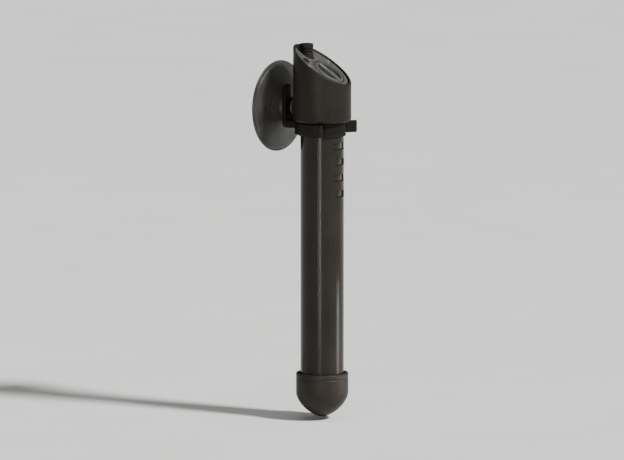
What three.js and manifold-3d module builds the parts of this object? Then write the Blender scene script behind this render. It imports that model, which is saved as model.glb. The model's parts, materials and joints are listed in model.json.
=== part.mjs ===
// A submersible aquarium heater: a sealed tube with a heating coil and a bimetal thermostat inside, a head
// with a slanted face that carries a flush temperature dial, and a spring-clip holder with one suction cup.
//
// Millimetres, +Z up. The origin is the centre of the suction cup's sealing face, which lies in the plane
// X = 0 and looks along -X, towards the glass. The tube's axis stands at X = AXIS_X, parallel to Z.
import * as THREE from "three";
import { mergeVertices } from "three/addons/utils/BufferGeometryUtils.js";
import Module from "manifold-3d";

// ---------------------------------------------------------------- driving dimensions

const AXIS_X = 23; // from the glass to the tube's axis
const HANG = 1.5; // how far the heater's own zero, near the head's floor, stands above the cup's centre
const FRONT_TURN = 10; // degrees about Z that the heater stands turned in its clip
const FIT = 0.3; // gap between pieces that touch

const TUBE = { r: 9.3, wall: 1.6, end: -128.9, endRound: 6, top: 0.4 };
const FLANGE = { r: 10.4, low: -1.2 }; // the tube's collar, which rests on the head's floor
const MARKS = { count: 4, first: -18.3, pitch: 6.8, height: 3, depth: 1, long: 34, short: 27 };

const FOOT = { r: 11.2, top: -114.7, lip: 0.8, shoulder: -123.6, end: -134, fullness: 1.6, ventR: 1.5 };

const HEAD = { r: 12.4, low: -6.5, floor: -1.5, cavityR: 10.8, recessR: 11.4, chamfer: 0.8 };
const FACE = { z: 17.6, tilt: 34, plateR: 11.1, sink: 0.6, thick: 1.6 }; // the rim's slanted plane
const SEAL_GROOVE = { r: 10.9, low: -5.2, high: -2.8 };
const SEAL = { head: 0.5, spindle: 0.45 }; // half the thickness of each sealing ring

// Places on the slanted face: s runs downhill from the tube's axis, a is the height above the rim's plane.
const DIAL = { s: 4.4, r: 7, top: -0.3, bottom: -2.9, edge: 0.4, barWidth: 2.6, pocketDepth: 1.4, rim: 1.3 };
const WELL = { wall: 1.2, floor: -3.2, bottom: -4.6 };
const BOSS = { r: 4.6, end: -6.6, grooveR: 3.7, grooveLow: -6.2, grooveHigh: -4.7 };
const SPINDLE = { r: 2.2, top: -2.3, end: -9.2, neckR: 1.6, neckLow: -7.6, neckHigh: -6.8 };
const CAM = { r: 3.2, top: -7.9, bottom: -9.6, lift: 0.25 }; // lift in mm of the rod per radian of the dial

const GLAND = { x: -7.4, r: 3, boreR: 2.2, low: 15, high: 26.3, boreEnd: 18, edge: 0.6 };
const LENS = { s: -5, y: -6.5, r: 1.3, low: -4.2, dome: 0.6 };

const BUNG = { r: 7.4, low: -9, flangeR: 10.3, flangeLow: 0.7, high: 1.7, springPocket: -4 };
const ROD = { r: 1.2, tipCentre: 4.2, collarR: 2.6, collarLow: 3.2, collarHigh: 3.8, cone: -16, end: -21 };
const SPRING = { r: 2.2, wire: 0.25, low: -3.4, high: 2.25, turns: 5 }; // clear of the collar at its lowest

const CUP = { r: 19.5, rim: 4.5, neckR: 2.4, shoulder: 5.9, end: 9.6 };
const PLATE = { near: 6.2, far: 8.2, halfWidth: 6, low: -8.9, top: 10, corner: 3.5, holeR: 2.7, slot: 4.2 };
const CLIP = { innerR: 10.5, outerR: 11.7, low: -10.5, high: -5.35, opening: 54, lip: 5.2, lipWidth: 1.9 };
const LINER = { innerR: 9.6, outerR: 10.2, low: -12.6, high: -6.8 }; // in the heater's own axes

const SIDES = 36; // facets round a full-size turned part
const FEW_SIDES = 16; // facets round a small inner part

// ---------------------------------------------------------------- materials

const plastic = (color, roughness) => new THREE.MeshStandardMaterial({ color, roughness, metalness: 0 });
const metal = (color, roughness) => new THREE.MeshStandardMaterial({ color, roughness, metalness: 1 });
const MATERIAL = {
  casing: plastic(0x1d1a18, 0.28),
  head: plastic(0x211e1b, 0.42),
  foot: plastic(0x24201d, 0.55),
  face: plastic(0x4c4a48, 0.5),
  dial: plastic(0x5a5856, 0.45),
  holder: plastic(0x1b1917, 0.45),
  cup: plastic(0x2b2b2a, 0.35),
  rubber: plastic(0x151413, 0.7),
  silicone: plastic(0x6d2a1d, 0.6),
  lens: plastic(0x5a0e08, 0.2),
  resin: plastic(0x7a4a26, 0.6),
  nylon: plastic(0xd8d2c2, 0.5),
  ceramic: plastic(0xe6e0d2, 0.7),
  mica: plastic(0xb39a6a, 0.5),
  glass: plastic(0xd9c6b8, 0.1),
  steel: metal(0xb9b9b6, 0.35),
  brass: metal(0xb08d4a, 0.35),
  copper: metal(0xb4704a, 0.35),
  silver: metal(0xdcdad4, 0.3),
  heatWire: metal(0x6e6660, 0.45),
  magnet: metal(0x4a4a4c, 0.5),
};

// ---------------------------------------------------------------- shape helpers

const wasm = await Module();
wasm.setup();

const radians = THREE.MathUtils.degToRad;

// A closed geometry as a solid that can be joined to others and cut by them.
function solid(geometry) {
  const bare = geometry.index ? geometry.toNonIndexed() : geometry.clone();
  bare.deleteAttribute("normal");
  bare.deleteAttribute("uv");
  const merged = mergeVertices(bare, 1e-4);
  const kept = [];
  for (let i = 0; i < merged.index.count; i += 3) {
    const [a, b, c] = [merged.index.getX(i), merged.index.getX(i + 1), merged.index.getX(i + 2)];
    if (a !== b && b !== c && a !== c) kept.push(a, b, c);
  }
  return new wasm.Manifold(
    new wasm.Mesh({
      numProp: 3,
      vertProperties: merged.attributes.position.array,
      triVerts: new Uint32Array(kept),
    }),
  );
}

function geometryOf(body) {
  const mesh = body.getMesh();
  const geometry = new THREE.BufferGeometry();
  geometry.setAttribute("position", new THREE.BufferAttribute(mesh.vertProperties, 3));
  geometry.setIndex(new THREE.BufferAttribute(mesh.triVerts, 1));
  geometry.computeVertexNormals();
  return geometry;
}

const joined = (...geometries) => geometries.map(solid).reduce((all, next) => all.add(next));
const cut = (body, ...geometries) => geometries.map(solid).reduce((left, tool) => left.subtract(tool), body);

// A body turned about Z from [radius, z] points that run anticlockwise: out along its low end, then up.
function turned(profile, sides = SIDES) {
  const points = profile.map(([r, z]) => new THREE.Vector2(r, z));
  return new THREE.LatheGeometry(points, sides).rotateX(Math.PI / 2);
}

const ring = (innerR, outerR, low, high, sides = SIDES) =>
  turned([[innerR, low], [outerR, low], [outerR, high], [innerR, high], [innerR, low]], sides);

const rod = (r, low, high, x = 0, y = 0, sides = FEW_SIDES) =>
  new THREE.CylinderGeometry(r, r, high - low, sides).rotateX(Math.PI / 2).translate(x, y, (low + high) / 2);

const block = (x0, x1, y0, y1, z0, z1) =>
  new THREE.BoxGeometry(x1 - x0, y1 - y0, z1 - z0).translate((x0 + x1) / 2, (y0 + y1) / 2, (z0 + z1) / 2);

// Points of an elliptical arc about [r, z], from one angle to another in degrees.
function arc(r, z, across, along, from, to, steps) {
  return Array.from({ length: steps + 1 }, (_, i) => {
    const angle = radians(from + ((to - from) * i) / steps);
    return [r + across * Math.cos(angle), z + along * Math.sin(angle)];
  });
}

// A slice of a ring between two radii, from one angle to another in degrees, standing from low to high.
function sector(innerR, outerR, from, to, low, high, curveSegments = 24) {
  const shape = new THREE.Shape();
  shape.absarc(0, 0, outerR, radians(from), radians(to), false);
  shape.absarc(0, 0, innerR, radians(to), radians(from), true);
  return new THREE.ExtrudeGeometry(shape, { depth: high - low, bevelEnabled: false, curveSegments })
    .translate(0, 0, low);
}

// A wire of round section along a curve.
function wire(curve, r, steps, sides) {
  const section = new THREE.Shape(
    Array.from({ length: sides }, (_, i) => {
      const angle = (2 * Math.PI * i) / sides;
      return new THREE.Vector2(r * Math.cos(angle), r * Math.sin(angle));
    }),
  );
  return new THREE.ExtrudeGeometry(section, { steps, extrudePath: curve, bevelEnabled: false });
}

const LEAD = { r: 0.5, steps: 28, sides: 5 };

function lead(...points) {
  const curve = new THREE.CatmullRomCurve3(points.map((p) => new THREE.Vector3(...p)), false, "centripetal");
  return wire(curve, LEAD.r, LEAD.steps, LEAD.sides);
}

class Helix extends THREE.Curve {
  constructor(r, low, high, turns) {
    super();
    Object.assign(this, { r, low, high, turns });
  }
  getPoint(t, target = new THREE.Vector3()) {
    const angle = 2 * Math.PI * this.turns * t;
    const height = this.low + (this.high - this.low) * t;
    return target.set(this.r * Math.cos(angle), this.r * Math.sin(angle), height);
  }
}

// From the slanted face's own axes (s, y, a) to the heater's.
const TILT = radians(FACE.tilt);
const onFace = (geometry) => geometry.rotateY(TILT).translate(0, 0, FACE.z);

// Everything above, or below, a plane that lies a mm above the slanted rim.
const FAR = 60;
const aboveFace = (a) => onFace(block(-FAR, FAR, -FAR, FAR, a, a + FAR));
const belowFace = (a) => onFace(block(-FAR, FAR, -FAR, FAR, a - FAR, a));

function part(group, name, shape, material) {
  const geometry = shape.isBufferGeometry ? shape : geometryOf(shape);
  const mesh = new THREE.Mesh(geometry, material);
  mesh.name = name;
  group.add(mesh);
  return mesh;
}

// ---------------------------------------------------------------- casing

// The sealed tube: a round-ended vessel with a collar at its mouth and recessed level marks on its front.
function casingTube() {
  const { r, wall, end, endRound, top } = TUBE;
  const innerRound = endRound - wall;
  const outline = [
    [0, end],
    ...arc(r - endRound, end + endRound, endRound, endRound, -90, 0, 4),
    [r, FLANGE.low],
    [FLANGE.r, FLANGE.low],
    [FLANGE.r, top],
    [r - wall, top],
    ...arc(r - endRound, end + endRound, innerRound, innerRound, 0, -90, 4),
    [0, end + wall],
  ];
  const marks = Array.from({ length: MARKS.count }, (_, i) => {
    const low = MARKS.first - i * MARKS.pitch;
    const half = i % 2 ? MARKS.short : MARKS.long;
    return sector(r - MARKS.depth, r + 1, -half, half, low, low + MARKS.height, 10);
  });
  return cut(solid(turned(outline)), ...marks);
}

// The push-on foot, which guards the tube's round end. It narrows to a blunt point with a vent in it.
function footCap() {
  const { r, top, lip, shoulder, end, fullness, ventR } = FOOT;
  const innerR = TUBE.r + FIT;
  const innerEnd = TUBE.end - FIT;
  const round = TUBE.endRound + FIT;
  const steps = 9;
  const nose = Array.from({ length: steps }, (_, i) => {
    const angle = (Math.PI / 2) * (1 - i / (steps - 1));
    const across = r * Math.cos(angle) ** (2 / fullness);
    return [Math.max(across, ventR), shoulder - (shoulder - end) * Math.sin(angle) ** (2 / fullness)];
  });
  return turned([
    ...nose,
    [r, top - lip],
    [r - lip / 2, top],
    [innerR, top],
    ...arc(innerR - round, innerEnd + round, round, round, 0, -90, 4),
    [ventR, innerEnd],
    nose[0],
  ]);
}

// The head's shell: a cup with a slanted rim, a ledge under the rim and a bore that the tube hangs in.
function headHousing() {
  const tall = FACE.z + HEAD.r;
  const shell = solid(turned([
    [0, HEAD.low],
    [HEAD.r - HEAD.chamfer, HEAD.low],
    [HEAD.r, HEAD.low + HEAD.chamfer],
    [HEAD.r, tall],
    [0, tall],
  ]));
  const ledge = -FACE.sink - FACE.thick - FIT;
  const recess = solid(rod(HEAD.recessR, HEAD.floor, tall, 0, 0, SIDES)).subtract(solid(belowFace(ledge)));
  return cut(
    shell,
    aboveFace(0),
    rod(HEAD.cavityR, HEAD.floor, tall, 0, 0, SIDES),
    rod(TUBE.r + FIT, HEAD.low - 1, HEAD.floor + 1, 0, 0, SIDES),
    ring(TUBE.r, SEAL_GROOVE.r, SEAL_GROOVE.low, SEAL_GROOVE.high),
  ).subtract(recess);
}

const oRing = (r, thick, z, sides) => turned(arc(r, z, thick, thick, -90, 270, 6), sides);

// ---------------------------------------------------------------- slanted face

// The plate that closes the head, with the dial's well and the boss that its spindle turns in.
function facePlate() {
  const { sink, thick, plateR } = FACE;
  const outline = solid(rod(plateR, -FAR / 2, FAR / 2, 0, 0, SIDES));
  const slab = solid(onFace(block(-FAR / 2, FAR / 2, -FAR / 2, FAR / 2, -sink - thick, -sink)));
  const inWell = (r, low, high) => onFace(rod(r, low, high, DIAL.s, 0, SIDES));
  const body = outline.intersect(slab)
    .add(solid(inWell(DIAL.r + FIT + WELL.wall, WELL.bottom, -sink - 0.1)))
    .add(solid(inWell(BOSS.r, BOSS.end, WELL.bottom + 0.5)));
  return cut(
    body,
    inWell(DIAL.r + FIT, WELL.floor, 1),
    inWell(SPINDLE.r + FIT, BOSS.end - 1, WELL.floor + 1),
    inWell(BOSS.grooveR, BOSS.grooveLow, BOSS.grooveHigh),
    rod(GLAND.r + FIT, GLAND.low - FIT, GLAND.high, GLAND.x),
    onFace(rod(LENS.r + FIT, -FAR / 4, FAR / 4, LENS.s, LENS.y)),
  );
}

// The flush dial: two finger pockets leave a grip bar between them. Its own axis is Z, in the face's axes.
function dial() {
  const { r, top, bottom, barWidth, pocketDepth, rim, edge } = DIAL;
  const pocketR = r - rim;
  const half = Math.asin(barWidth / 2 / pocketR);
  const pockets = [0, Math.PI].map((turn) => {
    const shape = new THREE.Shape();
    shape.absarc(0, 0, pocketR, half, Math.PI - half, false);
    return new THREE.ExtrudeGeometry(shape, { depth: 2, bevelEnabled: false, curveSegments: 20 })
      .translate(0, 0, top - pocketDepth)
      .rotateZ(turn);
  });
  const disc = turned([[0, bottom], [r, bottom], [r, top - edge], [r - edge, top], [0, top]]);
  return cut(solid(disc), ...pockets, rod(SPINDLE.r + FIT, bottom - 1, SPINDLE.top + FIT));
}

// The spindle, with a neck that its clip snaps into.
const spindle = () =>
  turned([
    [0, SPINDLE.end],
    [SPINDLE.neckR, SPINDLE.end],
    [SPINDLE.neckR, SPINDLE.neckHigh],
    [SPINDLE.r, SPINDLE.neckHigh],
    [SPINDLE.r, SPINDLE.top],
    [0, SPINDLE.top],
  ], FEW_SIDES);

const spindleClip = () =>
  sector(SPINDLE.neckR + FIT, BOSS.r - 1, 40, 320, SPINDLE.neckLow, SPINDLE.neckHigh - FIT);

// The cam under the dial: its lower face falls steadily round the axis, and moves the rod as the dial turns.
function dialCam() {
  const { r, top, bottom, lift } = CAM;
  const contactR = contactRadius();
  const rimSlope = (lift * Math.cos(TILT) * r) / contactR;
  const shape = rod(r, bottom, top, 0, 0, 36);
  const position = shape.attributes.position;
  const middle = (bottom + top) / 2;
  for (let i = 0; i < position.count; i++) {
    const [x, y, z] = [position.getX(i), position.getY(i), position.getZ(i)];
    if (z > middle || Math.hypot(x, y) < r / 2) continue;
    const angle = Math.atan2(y, x);
    const seam = Math.PI - 1e-3; // the step from the ramp's top to its foot stands where the angle wraps
    position.setZ(i, z + rimSlope * (Math.abs(angle) > seam ? 0 : angle));
  }
  return cut(solid(shape), rod(SPINDLE.neckR + FIT, SPINDLE.end - FIT, top + 1));
}

// How far from the dial's axis the rod, on the tube's axis, meets the cam.
function contactRadius() {
  const centreX = DIAL.s * Math.cos(TILT) + CAM.bottom * Math.sin(TILT);
  return -centreX / Math.cos(TILT);
}

// The rubber gland at the high side, where a cord would enter.
const cableGland = () =>
  turned([
    [0, GLAND.low],
    [GLAND.r, GLAND.low],
    [GLAND.r, GLAND.high - GLAND.edge],
    [GLAND.r - GLAND.edge, GLAND.high],
    [GLAND.boreR, GLAND.high],
    [GLAND.boreR, GLAND.boreEnd],
    [0, GLAND.boreEnd],
  ], 24).translate(GLAND.x, 0, 0);

// The pilot light's window, a domed pin in the face's axes.
const pilotLens = () =>
  turned([
    [0, LENS.low],
    [LENS.r, LENS.low],
    [LENS.r, -FACE.sink],
    [LENS.r * 0.7, -FACE.sink + LENS.dome * 0.75],
    [0, -FACE.sink + LENS.dome],
  ], FEW_SIDES);

// ---------------------------------------------------------------- inside the head and the tube's mouth

const TERMINAL = { x: -8, y: 2.2, r: 1.1, boreR: 0.7, low: 4, high: 11 };
const SCREW = { x: -4, y: 3.4, r: 0.8, headR: 1.5, headLow: 0.2, headHigh: 1.4, end: -12.4 };
const LAMP = { x: -5.8, y: -6.4, r: 1.6, low: 4.5, shoulder: 11 };
const RESISTOR = { x: -4.6, y: 7.4, r: 1, low: 4, high: 10 };
const LEAD_Y = 5.3; // where the leads pass the bung
const LEAD_HOLE_R = 1.3;

// The plug in the tube's mouth, which carries the thermostat and guides the rod.
function tubeBung() {
  const { r, low, flangeR, flangeLow, high, springPocket } = BUNG;
  const outline = [[0, low], [r, low], [r, flangeLow], [flangeR, flangeLow], [flangeR, high], [0, high]];
  const screwHoles = [-1, 1].flatMap((side) => [
    rod(SCREW.r + FIT, low - 1, high + 1, SCREW.x, side * SCREW.y, 12),
    rod(SCREW.headR + FIT, SCREW.headLow - FIT, high + 1, SCREW.x, side * SCREW.y, 16),
  ]);
  const leadHoles = [-1, 1].map((side) => rod(LEAD_HOLE_R, low - 1, high + 1, 0, side * LEAD_Y, 12));
  return cut(
    solid(turned(outline)),
    rod(ROD.r + FIT, low - 1, high + 1),
    rod(ROD.collarR + FIT + 0.1, springPocket, high + 1, 0, 0, 24),
    ...screwHoles,
    ...leadHoles,
  );
}

// The rod that carries the dial's setting down to the thermostat: round tip, spring collar and cone.
const pushRod = () =>
  turned([
    [0, ROD.end],
    [0.3, ROD.end],
    [ROD.r, ROD.cone],
    [ROD.r, ROD.collarLow],
    [ROD.collarR, ROD.collarLow],
    [ROD.collarR, ROD.collarHigh],
    ...arc(0, ROD.tipCentre, ROD.r, ROD.r, 0, 90, 4).slice(1),
  ], FEW_SIDES);

const rodSpring = () => wire(new Helix(SPRING.r, SPRING.low, SPRING.high, SPRING.turns), SPRING.wire, 50, 4);

const frameScrew = (side) =>
  turned([
    [0, SCREW.end],
    [SCREW.r, SCREW.end],
    [SCREW.r, SCREW.headLow],
    [SCREW.headR, SCREW.headLow],
    [SCREW.headR, SCREW.headHigh],
    [0, SCREW.headHigh],
  ], FEW_SIDES).translate(SCREW.x, side * SCREW.y, 0);

const terminal = (side) =>
  ring(TERMINAL.boreR, TERMINAL.r, TERMINAL.low, TERMINAL.high, FEW_SIDES)
    .translate(TERMINAL.x, side * TERMINAL.y, 0);

// The pilot light's bulb: a glass tube with a round top.
const neonLamp = () =>
  turned([
    [0, LAMP.low],
    [LAMP.r, LAMP.low],
    [LAMP.r, LAMP.shoulder],
    ...arc(0, LAMP.shoulder, LAMP.r, LAMP.r, 0, 90, 4).slice(1),
  ], FEW_SIDES).translate(LAMP.x, LAMP.y, 0);

// ---------------------------------------------------------------- thermostat

const FRAME = {
  back: -5.3, backThick: 1.2, headThick: 3.1, headHalfWidth: 4.8, headEnd: -13.5, top: -9.4,
  halfWidth: 4, blockTop: -47, bottom: -52, front: 6, postThick: 1, postHalfWidth: 2.5, postTop: -26,
};
const BIMETAL = { near: 1.6, far: 2.2, halfWidth: 2.5, low: FRAME.blockTop + FIT, high: -22 };
const BLADE = { near: -2, far: -1.5, halfWidth: 2.5, low: FRAME.blockTop + FIT, high: -17.4 };
const CONTACT = { r: 1.1, z: -24.5, fixedTip: -0.2, movingTip: 0.2 };
const MAGNET = { near: 3, far: 4.7, halfWidth: 2, low: -31, high: -27 };
const CUTOUT = { x: 3.2, y: -3.4, r: 1.4, low: -60.5, high: -53 };

// The thermostat's frame: a head block, a back, a foot block and a short front post.
function thermostatFrame() {
  const { back, front, halfWidth, headHalfWidth, postHalfWidth, headEnd, blockTop, bottom } = FRAME;
  return cut(
    joined(
      block(back, back + FRAME.headThick, -headHalfWidth, headHalfWidth, headEnd, FRAME.top),
      block(back, back + FRAME.backThick, -halfWidth, halfWidth, bottom, headEnd + 1),
      block(back, front, -halfWidth, halfWidth, bottom, blockTop),
      block(front - FRAME.postThick, front, -postHalfWidth, postHalfWidth, blockTop - 1, FRAME.postTop),
    ),
    ...[-1, 1].map((side) => rod(SCREW.r + FIT, SCREW.end - FIT, FRAME.top + 1, SCREW.x, side * SCREW.y, 12)),
  );
}

// A round contact whose axis lies along X.
const contact = (x0, x1) => rod(CONTACT.r, x0, x1).rotateY(Math.PI / 2).translate(0, 0, CONTACT.z);

// A flat piece that stands across the frame: a strip, a blade or the magnet.
const strip = ({ near, far, halfWidth, low, high }) => block(near, far, -halfWidth, halfWidth, low, high);

// ---------------------------------------------------------------- heating section

const CORE = { r: 3.6, boreR: 1, low: -122.3, high: -66 };
const COIL = { r: 4.5, wire: 0.4, low: -118.5, high: -70, turns: 12 };
const SLEEVE = { innerR: 6.7, outerR: 7.3, low: -122.7, high: -62 };
const SPACER = { r: 6.4, thick: 1.5 };
const CUSHION = { r: 3.6, low: -127, high: -124.4 };

const heatingCoil = () =>
  wire(new Helix(COIL.r, COIL.low, COIL.high, COIL.turns), COIL.wire, COIL.turns * 10, 5);

// A disc that centres the core, with holes for the leads.
const spacer = (low, ...holes) =>
  cut(
    solid(rod(SPACER.r, low, low + SPACER.thick, 0, 0, 24)),
    ...holes.map(([x, y]) => rod(CORE.boreR + 0.1, low - 1, low + SPACER.thick + 1, x, y, 12)),
  );

// ---------------------------------------------------------------- holder and suction cup

// The suction cup as it lies pressed flat: sealing rim, shallow hollow, centre pad, back, neck and mushroom
// end. The profile's second number is the height over the glass.
function suctionCup() {
  const { r, rim, neckR, shoulder, end } = CUP;
  const hollow = 0.7;
  const back = [[r - 0.3, 0], [r, 0.35], [r - 0.2, 0.9], [r - rim, 1.8], [9.4, 3.1], [6, 4.4], [4.8, 5.3]];
  const barb = [
    [neckR, end - 1.1], [neckR + 1.2, end - 1.1], [neckR + 1, end - 0.35], [neckR, end], [0, end],
  ];
  return turned(
    [
      [0, 0], [3, 0], [4.2, hollow], [r - rim - 1.4, hollow], [r - rim, 0],
      ...back, [4.4, shoulder], [neckR, shoulder], ...barb,
    ].map(([radius, height]) => [radius, -height]).reverse(),
  ).rotateY(-Math.PI / 2);
}

// The holder's upright plate, rounded at its four corners, with a keyhole for the cup's neck still to be cut.
function holderPlate() {
  const { near, far, halfWidth, low, top, corner } = PLATE;
  const outline = new THREE.Shape();
  outline.absarc(halfWidth - corner, low + corner, corner, -Math.PI / 2, 0, false);
  outline.absarc(halfWidth - corner, top - corner, corner, 0, Math.PI / 2, false);
  outline.absarc(-halfWidth + corner, top - corner, corner, Math.PI / 2, Math.PI, false);
  outline.absarc(-halfWidth + corner, low + corner, corner, Math.PI, 1.5 * Math.PI, false);
  return new THREE.ExtrudeGeometry(outline, { depth: far - near, bevelEnabled: false, curveSegments: 5 })
    .rotateX(Math.PI / 2)
    .rotateZ(Math.PI / 2)
    .translate(near, 0, 0);
}

// One of the clip's two lips, which point outwards and guide the tube in.
function clipLip(side) {
  const { innerR, low, high, opening, lip, lipWidth } = CLIP;
  const shape = new THREE.Shape();
  shape.moveTo(0, -lipWidth / 2);
  shape.absarc(lip - lipWidth / 2, 0, lipWidth / 2, -Math.PI / 2, Math.PI / 2, false);
  shape.lineTo(0, lipWidth / 2);
  return new THREE.ExtrudeGeometry(shape, { depth: high - low, bevelEnabled: false, curveSegments: 8 })
    .translate(innerR + 0.3, 0, low)
    .rotateZ(side * radians(opening + 4))
    .translate(AXIS_X, 0, 0);
}

// The holder: the plate, an arm, and an open clip with two lips.
function holderBracket() {
  const { near, far, halfWidth, low, top, holeR, slot } = PLATE;
  const { innerR, outerR, opening } = CLIP;
  const clip = sector(innerR, outerR, opening, 360 - opening, CLIP.low, CLIP.high, 30)
    .translate(AXIS_X, 0, 0);
  const armEnd = AXIS_X - innerR - 0.6;
  const arm = block(far - 0.5, armEnd, -halfWidth + 1, halfWidth - 1, low + 0.4, CLIP.high);
  return cut(
    joined(holderPlate(), clip, arm, clipLip(-1), clipLip(1)),
    rod(holeR, near - 1, far + 1, 0, 0, 24).rotateY(Math.PI / 2),
    block(near - 1, far + 1, -slot / 2, slot / 2, 0, top + 1),
  );
}

// ---------------------------------------------------------------- assembly

const heater = new THREE.Group();

// The holder and the cup stand in the heater's main axes.
part(heater, "suction_cup", suctionCup(), MATERIAL.cup);
part(heater, "holder_bracket", holderBracket(), MATERIAL.holder);

// The tube's own axes: X towards the low side of the slanted face.
const body = new THREE.Group();
body.position.set(AXIS_X, 0, HANG);
body.rotation.z = radians(FRONT_TURN);
heater.add(body);

part(body, "clip_liner", ring(LINER.innerR, LINER.outerR, LINER.low, LINER.high), MATERIAL.rubber);
part(body, "casing_tube", casingTube(), MATERIAL.casing);
part(body, "foot_cap", footCap(), MATERIAL.foot);
part(body, "head_housing", headHousing(), MATERIAL.head);
part(body, "head_seal",
  oRing(TUBE.r + FIT + SEAL.head, SEAL.head, (SEAL_GROOVE.low + SEAL_GROOVE.high) / 2, 30),
  MATERIAL.silicone);
part(body, "face_plate", facePlate(), MATERIAL.face);
part(body, "cable_gland", cableGland(), MATERIAL.rubber);

// The slanted face's axes: X downhill, Z out of the face.
const face = new THREE.Group();
face.position.z = FACE.z;
face.rotation.y = TILT;
body.add(face);

part(face, "pilot_lens", pilotLens(), MATERIAL.lens).position.set(LENS.s, LENS.y, 0);
part(face, "temperature_dial", dial(), MATERIAL.dial).position.x = DIAL.s;
part(face, "dial_spindle", spindle(), MATERIAL.nylon).position.x = DIAL.s;
part(face, "dial_cam", dialCam(), MATERIAL.nylon).position.x = DIAL.s;
part(face, "spindle_clip", spindleClip(), MATERIAL.steel).position.x = DIAL.s;
part(face, "spindle_seal",
  oRing(SPINDLE.r + FIT + SEAL.spindle, SEAL.spindle, (BOSS.grooveLow + BOSS.grooveHigh) / 2, FEW_SIDES),
  MATERIAL.silicone).position.x = DIAL.s;

part(body, "tube_bung", tubeBung(), MATERIAL.nylon);
part(body, "push_rod", pushRod(), MATERIAL.nylon);
part(body, "rod_spring", rodSpring(), MATERIAL.steel);
part(body, "frame_screw_left", frameScrew(-1), MATERIAL.steel);
part(body, "frame_screw_right", frameScrew(1), MATERIAL.steel);
part(body, "terminal_live", terminal(-1), MATERIAL.brass);
part(body, "terminal_neutral", terminal(1), MATERIAL.brass);
part(body, "neon_lamp", neonLamp(), MATERIAL.glass);
part(body, "pilot_resistor",
  rod(RESISTOR.r, RESISTOR.low, RESISTOR.high, RESISTOR.x, RESISTOR.y, 12), MATERIAL.resin);

part(body, "thermostat_frame", thermostatFrame(), MATERIAL.resin);
part(body, "bimetal_strip", strip(BIMETAL), MATERIAL.copper);
part(body, "moving_contact", contact(CONTACT.movingTip, BIMETAL.near - FIT), MATERIAL.silver);
part(body, "setting_blade", strip(BLADE), MATERIAL.brass);
part(body, "fixed_contact", contact(BLADE.far + FIT, CONTACT.fixedTip), MATERIAL.silver);
part(body, "snap_magnet", strip(MAGNET), MATERIAL.magnet);
part(body, "thermal_cutout", rod(CUTOUT.r, CUTOUT.low, CUTOUT.high, CUTOUT.x, CUTOUT.y), MATERIAL.silver);

// Both supply leads leave their terminals alike, pass the bung on their own side and part ways below it.
const leadTop = (side) => [
  [TERMINAL.x, side * TERMINAL.y, 3.5],
  [-7.2, side * 3.2, 3],
  [-4.4, side * 5.2, 3.2],
  [-1, side * 5.7, 3],
  [0, side * LEAD_Y, 2],
  [0, side * LEAD_Y, -6],
];
const toBlade = [[0, -LEAD_Y, -24], [0.4, -LEAD_Y, -46], [0.8, -LEAD_Y, -50]];
const toCore = [[0, LEAD_Y, -30], [0, LEAD_Y, -52], [0, 4.6, -57], [0, 0.6, -62], [0, 0, -67], [0, 0, -96]];
const fromCutout = [[-1.8, 0, -52.4], [-1.6, -0.8, -55], [1.2, -1.2, -58], [4.2, -0.3, -61.5], [4.5, 0, -64]];
part(body, "lead_live", lead(...leadTop(-1), ...toBlade), MATERIAL.copper);
part(body, "lead_neutral", lead(...leadTop(1), ...toCore, [0, 0, CORE.low + 1]), MATERIAL.copper);
part(body, "lead_load", lead(...fromCutout, [COIL.r, 0, COIL.high + 1]), MATERIAL.copper);

part(body, "upper_spacer", spacer(CORE.high + FIT, [0, 0], [COIL.r, 0]), MATERIAL.mica);
part(body, "ceramic_core", ring(CORE.boreR, CORE.r, CORE.low, CORE.high, 24), MATERIAL.ceramic);
part(body, "heating_coil", heatingCoil(), MATERIAL.heatWire);
part(body, "lower_spacer", spacer(CORE.low - FIT - SPACER.thick, [0, 0]), MATERIAL.mica);
part(body, "insulating_sleeve",
  ring(SLEEVE.innerR, SLEEVE.outerR, SLEEVE.low, SLEEVE.high, 32), MATERIAL.mica);
part(body, "end_cushion", rod(CUSHION.r, CUSHION.low, CUSHION.high, 0, 0, 24), MATERIAL.silicone);

export default heater;
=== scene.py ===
"""A submersible aquarium heater in its suction-cup clip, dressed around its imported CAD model.

Lengths are in millimetres until a mesh is made. The tube stands along Z; "front" is where the low side of
the slanted face looks.
"""
import json
from math import acos, asin, atan2, ceil, cos, pi, radians, sin, tan

import bmesh
import bpy
from mathutils import Matrix, Vector

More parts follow.
